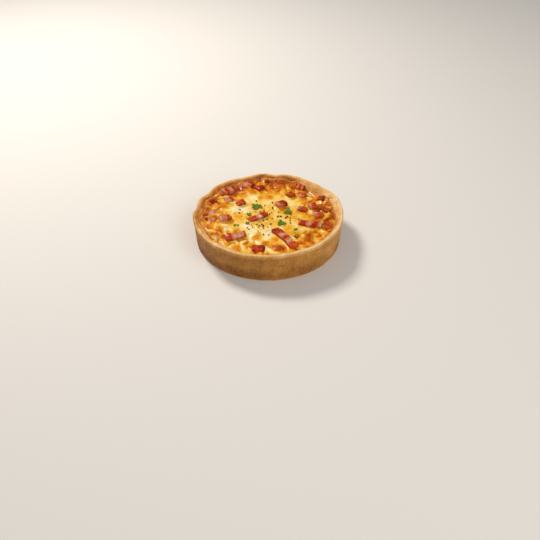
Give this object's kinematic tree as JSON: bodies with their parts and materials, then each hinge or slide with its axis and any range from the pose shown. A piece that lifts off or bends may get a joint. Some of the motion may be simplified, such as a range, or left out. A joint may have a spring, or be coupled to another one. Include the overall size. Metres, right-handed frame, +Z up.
{
  "type": "quiche",
  "caption": "Small round baked quiche: a deep shortcrust case filled level with set egg and cheese custard, with lardons half sunk in its top and a scatter of parsley and pepper.",
  "frame": {"origin": "under the middle of the pastry case, on the flat face that it stands on", "axes": "+Z up out of the filling, +Y towards the back of the quiche and +X to the right, as seen in the picture"},
  "size_m": [0.1192, 0.1185, 0.0249],
  "materials": {
    "pastry": "baked shortcrust pastry, matt golden brown",
    "custard": "set egg custard with melted cheese, moist yellow, toasted brown in spots",
    "lardon": "cured pork, red lean with pale pink fat, moist",
    "parsley": "chopped fresh parsley, green, moist"
  },
  "bodies": {
    "root": {"pastry_case": "pastry", "custard": "custard", "lardon_01": "lardon", "lardon_02": "lardon", "lardon_03": "lardon", "lardon_04": "lardon", "lardon_05": "lardon", "lardon_06": "lardon", "lardon_07": "lardon", "lardon_08": "lardon", "lardon_09": "lardon", "lardon_10": "lardon", "lardon_11": "lardon", "lardon_12": "lardon", "lardon_13": "lardon", "lardon_14": "lardon", "lardon_15": "lardon", "lardon_16": "lardon", "lardon_17": "lardon", "lardon_18": "lardon", "lardon_19": "lardon", "lardon_20": "lardon", "lardon_21": "lardon", "lardon_22": "lardon", "lardon_23": "lardon", "lardon_24": "lardon", "lardon_25": "lardon", "lardon_26": "lardon", "lardon_27": "lardon", "lardon_28": "lardon", "lardon_29": "lardon", "parsley_01": "parsley", "parsley_02": "parsley", "parsley_03": "parsley", "parsley_04": "parsley", "parsley_05": "parsley", "parsley_06": "parsley", "parsley_07": "parsley", "parsley_08": "parsley"}
  },
  "joints": []
}
